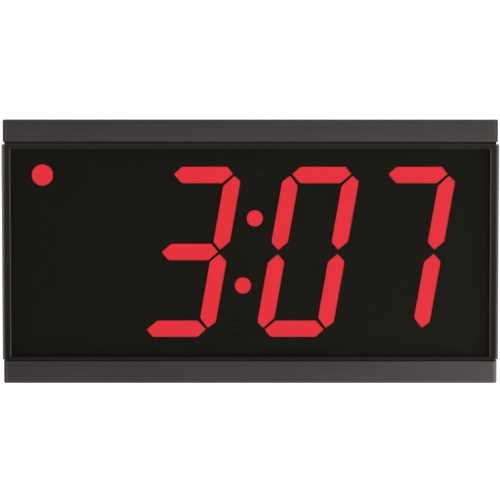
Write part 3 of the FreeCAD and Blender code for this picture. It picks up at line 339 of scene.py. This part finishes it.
def lit(name, base):
    """Lit diffuser: a red glow that varies very slightly."""
    s = Surface(name)
    haze = s.noise(scale=70.0, detail=2.0)
    fine = s.noise(scale=1500.0, detail=2.0)
    return s.finish(s.principled(
        Base_Color=base,
        Roughness=s.span(fine, to=(0.42, 0.52)),
        Specular_IOR_Level=0.2,
        Emission_Color=s.mix(s.span(haze), (2.20, 0.064, 0.116), (2.26, 0.068, 0.122)),
        Emission_Strength=1.0,
        Normal=s.bump(fine, strength=0.2, distance=0.00003)))


def smoked(name, base, passed=0.34):
    """Smoked acrylic: `passed` is the share of light let straight through both its faces."""
    s = Surface(name)
    wipes = s.noise(detail=4.0, rough=0.6, at=s.mapped((25.0, 25.0, 160.0), turn=(0, 0.35, 0)))
    ripple = s.noise(scale=14.0, detail=2.0)
    sheen = s.principled(
        Base_Color=base,
        Roughness=s.span(wipes, over=(0.3, 0.75), to=(0.07, 0.11)),
        Specular_IOR_Level=0.32,
        Normal=s.bump(ripple, strength=0.02, distance=0.0002))
    return s.finish(s.mix_shaders(passed ** 0.5, sheen, s.clear(Color=(1.0, 0.98, 0.96))))


END_COLOUR = (0.0390, 0.0322, 0.0330)

# material name: (maker, base colour, options)
FINISHES = {
    "rail_anodised": (anodised, (0.0400, 0.0330, 0.0338), {}),
    # darker copy of the rail finish: painted shade on the bottom rail
    "low_rail_anodised": (anodised, (0.0370, 0.0306, 0.0314), {}),
    # end plate finishes: painted shade on the front corner of both, and a painted highlight at
    # the foot of the right one
    "end_anodised": (anodised, END_COLOUR, dict(along="z", rub=0.10, corner=(0.60, 0.60))),
    "end_anodised_right": (anodised, END_COLOUR, dict(along="z", rub=0.10, corner=(1.15, 0.60))),
    "bezel_gloss": (gloss_black, (0.0093, 0.0074, 0.0060), {}),
    "lens_smoked": (smoked, (0.0082, 0.0082, 0.0057), {}),
    "segment_lit": (lit, (0.10, 0.01, 0.012), {}),
    "segment_unlit": (moulded, (0.0032, 0.0022, 0.0022), dict(rough=0.7, spec=0.05)),
    "panel_black": (moulded, (0.0022, 0.0022, 0.0022), dict(rough=0.8, spec=0.05)),
    "tape_black": (rubber, (0.012, 0.012, 0.012), dict(rough=0.9)),
    "board_green": (circuit, (0.010, 0.085, 0.038), {}),
    "led_red": (moulded, (0.30, 0.012, 0.012), dict(rough=0.18, depth=0.00001, spec=0.6)),
    "chip_black": (moulded, (0.022, 0.022, 0.024), dict(rough=0.55, grain=3500.0)),
    "sensor_dark": (moulded, (0.007, 0.006, 0.007), dict(rough=0.35, depth=0.00001, spec=0.2)),
    "sensor_clear": (moulded, (0.020, 0.020, 0.022), dict(rough=0.3, depth=0.00001, spec=0.2)),
    "post_brass": (metal, (0.70, 0.50, 0.22), dict(rough=0.3)),
    "screw_zinc": (metal, (0.62, 0.62, 0.64), dict(rough=0.3)),
    "screw_black": (painted, (0.022, 0.022, 0.024), dict(rough=0.38, peel=1600.0)),
    "header_black": (moulded, (0.016, 0.016, 0.016), dict(rough=0.5)),
    "crystal_can": (metal, (0.72, 0.72, 0.73), dict(rough=0.22, brush=(700.0, 700.0, 700.0))),
    "capacitor_sleeve": (moulded, (0.020, 0.030, 0.085), dict(rough=0.3, depth=0.00001)),
    "inductor_ferrite": (moulded, (0.060, 0.060, 0.064),
                         dict(rough=0.75, grain=1500.0, depth=0.0001)),
    "horn_black": (moulded, (0.018, 0.018, 0.018), dict(rough=0.5)),
    "horn_brass": (metal, (0.76, 0.58, 0.26), dict(rough=0.35)),
    "switch_black": (moulded, (0.022, 0.022, 0.022), dict(rough=0.5)),
    "button_grey": (moulded, (0.105, 0.105, 0.112),
                    dict(rough=0.55, grain=1800.0, depth=0.00006, edge=0.0003)),
    "plunger_ivory": (moulded, (0.68, 0.65, 0.56), dict(rough=0.45)),
    "slider_black": (moulded, (0.030, 0.030, 0.030), dict(rough=0.5)),
    "jack_black": (moulded, (0.018, 0.018, 0.018), dict(rough=0.45)),
    "pin_nickel": (metal, (0.74, 0.72, 0.68), dict(rough=0.18)),
    "plug_white": (moulded, (0.74, 0.72, 0.64), dict(rough=0.5)),
    "cable_grey": (moulded, (0.30, 0.30, 0.31), dict(rough=0.5)),
    "cover_black": (moulded, (0.0155, 0.0150, 0.0150),
                    dict(rough=0.56, grain=1500.0, depth=0.00012, edge=0.0005)),
    "door_black": (moulded, (0.020, 0.0195, 0.0195),
                   dict(rough=0.5, grain=1500.0, depth=0.00010, edge=0.0004)),
    "cell_steel": (metal, (0.70, 0.70, 0.71), dict(rough=0.25)),
    "contact_nickel": (metal, (0.72, 0.70, 0.63), dict(rough=0.25)),
    "lead_red": (moulded, (0.33, 0.012, 0.012), dict(rough=0.5)),
    "bumper_rubber": (rubber, (0.012, 0.012, 0.012), {}),
    "bracket_steel": (painted, (0.024, 0.024, 0.026), dict(rough=0.42)),
}

# pieces whose finish differs from their recorded slot
OWN_FINISH = {
    "left_end_plate": "end_anodised",
    "right_end_plate": "end_anodised_right",
    "bottom_rail": "low_rail_anodised",
}


def dress_pieces():
    materials = {name: maker(name, base, **options)
                 for name, (maker, base, options) in FINISHES.items()}
    slots = {row["node"]: row["material_slot"] for row in frame["record"]["subparts"]}
    for name, piece in frame["nodes"].items():
        piece.data.materials.clear()
        piece.data.materials.append(materials[OWN_FINISH.get(name, slots[name])])


# ------------------------------------------------------------- rating label
def add_object(name, data):
    obj = bpy.data.objects.new(name, data)
    scene.collection.objects.link(obj)
    return obj


def rounded_sheet(name, width, height, radius, thickness, segments=8):
    """Thin rounded sheet in the X-Z plane, its flat at y = 0 and its softened rim at +Y."""
    bm = bmesh.new()
    across, up = width / 2 - radius, height / 2 - radius
    # corner centre x, z and the angle its arc starts at
    corners = ((across, up, 0), (-across, up, 90), (-across, -up, 180), (across, -up, 270))
    rings = []
    for y, inset in ((0.0, 0.0), (thickness * 0.6, 0.0), (thickness, thickness * 0.4)):
        ring = []
        for x, z, start in corners:
            for step in range(segments + 1):
                angle = math.radians(start + 90 * step / segments)
                ring.append(bm.verts.new((x + (radius - inset) * math.cos(angle), y,
                                          z + (radius - inset) * math.sin(angle))))
        rings.append(ring)
    count = len(rings[0])
    for lower, upper in zip(rings, rings[1:]):
        for i in range(count):
            j = (i + 1) % count
            bm.faces.new((lower[i], upper[i], upper[j], lower[j]))
    bm.faces.new(rings[-1][::-1])
    bm.faces.new(rings[0])
    bmesh.ops.recalc_face_normals(bm, faces=bm.faces)
    mesh = bpy.data.meshes.new(name)
    bm.to_mesh(mesh)
    bm.free()
    return add_object(name, mesh)


BORDER_INSET = (0.0010, 0.0014)    # the line's outer and inner edge, from the label's edge
BAR_PITCH = 0.0034
BAR_PART = (0.36, 0.64)            # part of each pitch that is inked
BAR_START_X = -0.0135
BAR_END_X = (0.002, 0.0135)        # each bar ends somewhere between these
BARS_Z = (-0.0175, 0.0172)
BAND_FOOT_Z = 0.0185
BAND_INSET = 0.0020


def label_print(name):
    """Silver vinyl with a thin border, a solid top band and plain ruled bars for wording."""
    s = Surface(name)
    axes = s.axes(s.object_space)
    x, z = axes["X"], axes["Z"]

    def above(value, limit):
        return s.calc("GREATER_THAN", value, limit)

    def below(value, limit):
        return s.calc("LESS_THAN", value, limit)

    def all_of(first, *others):
        for other in others:
            first = s.times(first, other)
        return first

    edge = s.calc("MINIMUM",
                  s.calc("SUBTRACT", LABEL_WIDTH / 2, s.calc("ABSOLUTE", x)),
                  s.calc("SUBTRACT", LABEL_HEIGHT / 2, s.calc("ABSOLUTE", z)))
    border = all_of(above(edge, BORDER_INSET[0]), below(edge, BORDER_INSET[1]))
    row = s.calc("FLOOR", s.calc("DIVIDE", z, BAR_PITCH))
    within = s.calc("FRACT", s.calc("DIVIDE", z, BAR_PITCH))
    seed = s.node("TexWhiteNoise", {"W": row}, noise_dimensions="1D").outputs["Value"]
    bar_end = s.span(seed, over=(0.0, 1.0), to=BAR_END_X)
    bars = all_of(above(within, BAR_PART[0]), below(within, BAR_PART[1]),
                  below(x, bar_end), above(x, BAR_START_X),
                  below(z, BARS_Z[1]), above(z, BARS_Z[0]))
    band = all_of(above(z, BAND_FOOT_Z), above(edge, BAND_INSET))
    ink = s.calc("MINIMUM", s.add(s.add(border, bars), band), 1.0)
    wear = s.span(s.noise(scale=420.0, detail=4.0, rough=0.7), over=(0.35, 0.75), to=(1.0, 0.72))
    crease = s.noise(scale=55.0, detail=4.0, rough=0.6)
    stain = s.span(s.noise(scale=90.0, detail=3.0), over=(0.3, 0.75))
    vinyl = s.mix(stain, (0.44, 0.44, 0.43), (0.50, 0.49, 0.46))
    return s.finish(s.principled(
        Base_Color=s.mix(s.times(ink, wear), vinyl, (0.018, 0.018, 0.019)),
        Metallic=0.35,
        Roughness=s.span(crease, to=(0.34, 0.48)),
        Normal=s.bump(crease, strength=0.12, distance=0.0003)))


def add_label():
    label = rounded_sheet("rating_label", LABEL_WIDTH, LABEL_HEIGHT, LABEL_CORNER,
                          LABEL_THICKNESS)
    label.data.materials.append(label_print("label_print"))
    label.location = LABEL_PLACE
    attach(label, "clock")


# -------------------------------------------------------------------- stage
def floor_pale(name):
    """Pale, faintly glowing floor that is clear when seen from beneath."""
    s = Surface(name)
    speck = s.span(s.noise(scale=25.0, detail=4.0))
    pale = s.principled(
        Base_Color=s.mix(speck, (0.90, 0.90, 0.90), (0.93, 0.93, 0.93)),
        Roughness=0.9,
        Specular_IOR_Level=0.1,
        Emission_Color=(1.0, 1.0, 1.0),
        Emission_Strength=0.35)
    beneath = s.node("NewGeometry").outputs["Backfacing"]
    return s.finish(s.mix_shaders(beneath, pale, s.clear()))


def add_floor():
    material = floor_pale("floor_pale")
    mesh = bpy.data.meshes.new("floor")
    corners = [(x * FLOOR_HALF, y * FLOOR_HALF, FLOOR_Z)
               for x, y in ((-1, -1), (1, -1), (1, 1), (-1, 1))]
    mesh.from_pydata(corners, [], [(0, 1, 2, 3)])
    mesh.materials.append(material)
    floor = add_object("floor", mesh)
    floor.visible_glossy = False


def build_world():
    """White to the camera; as light, bright behind and beside the clock and dim in front."""
    world = bpy.data.worlds.new("studio")
    scene.world = world
    world.use_nodes = True
    g = Graph(world.node_tree, "OutputWorld")
    axes = g.axes(g.coordinates["Generated"])

    def ramp(value, over):
        return g.span(value, over, ramp="SMOOTHSTEP")

    back = ramp(axes["Y"], over=(-0.80, 0.15))
    above = ramp(axes["Z"], over=(0.12, 0.60))
    flank = ramp(g.calc("ABSOLUTE", axes["X"]), over=(0.70, 0.98))
    far_back = ramp(axes["Y"], over=(0.45, 0.95))
    front_level = g.add(g.times(above, 0.24), 0.235)
    level = g.add(g.add(g.times(back, 0.78), g.times(flank, 0.7)), front_level)
    level = g.calc("SUBTRACT", level, g.times(far_back, 0.55))
    tint = g.mix(back, (1.0, 0.92, 0.84), (1.0, 1.0, 1.0))
    light = g.node("Background", {"Color": tint, "Strength": level}).outputs[0]
    backdrop = g.node("Background", {"Color": (1.0, 1.0, 1.0), "Strength": 1.05}).outputs[0]
    camera_ray = g.node("LightPath").outputs["Is Camera Ray"]
    g.put(g.out.inputs["Surface"], g.mix_shaders(camera_ray, light, backdrop))


def point_along(obj, direction):
    obj.rotation_mode = "QUATERNION"
    obj.rotation_quaternion = direction.to_track_quat("-Z", "Y")


# name, place, target, side of the square light, watts
LIGHTS = (
    ("key_soft", (0.9, -1.5, 1.1), (0, -0.03, 0), 1.0, 8.0),
    ("fill_soft", (-1.3, -1.2, 0.5), (0, -0.03, 0), 1.0, 3.0),
    ("low_right_soft", (0.42, -0.27, -0.22), (0.15, -0.057, -0.075), 0.10, 2.9),
    ("back_soft", (0.5, 1.3, 1.1), (0, -0.02, 0), 0.8, 16.0),
)


def add_lights():
    for name, place, target, side, power in LIGHTS:
        light = bpy.data.lights.new(name, "AREA")
        light.shape = "RECTANGLE"
        light.size = light.size_y = side
        light.energy = power
        lamp = add_object(name, light)
        lamp.location = place
        point_along(lamp, Vector(target) - Vector(place))
        lamp.visible_camera = False


def add_camera():
    lens = bpy.data.cameras.new("camera")
    camera = add_object("camera", lens)
    scene.camera = camera
    to_camera = Vector((0.0, -math.cos(CAMERA_ELEVATION), math.sin(CAMERA_ELEVATION)))
    camera.location = Vector((0.0, FRONT_Y, 0.0)) + to_camera * CAMERA_DISTANCE
    point_along(camera, -to_camera)
    lens.sensor_width = SENSOR_WIDTH
    lens.lens = SENSOR_WIDTH * CAMERA_DISTANCE / VIEW_WIDTH
    # small framing offsets, as parts of the view's width
    lens.shift_x = -0.0006
    lens.shift_y = 0.0035
    lens.clip_start = 0.02
    lens.clip_end = 200.0


dress_pieces()
add_label()
add_floor()
build_world()
add_lights()
add_camera()
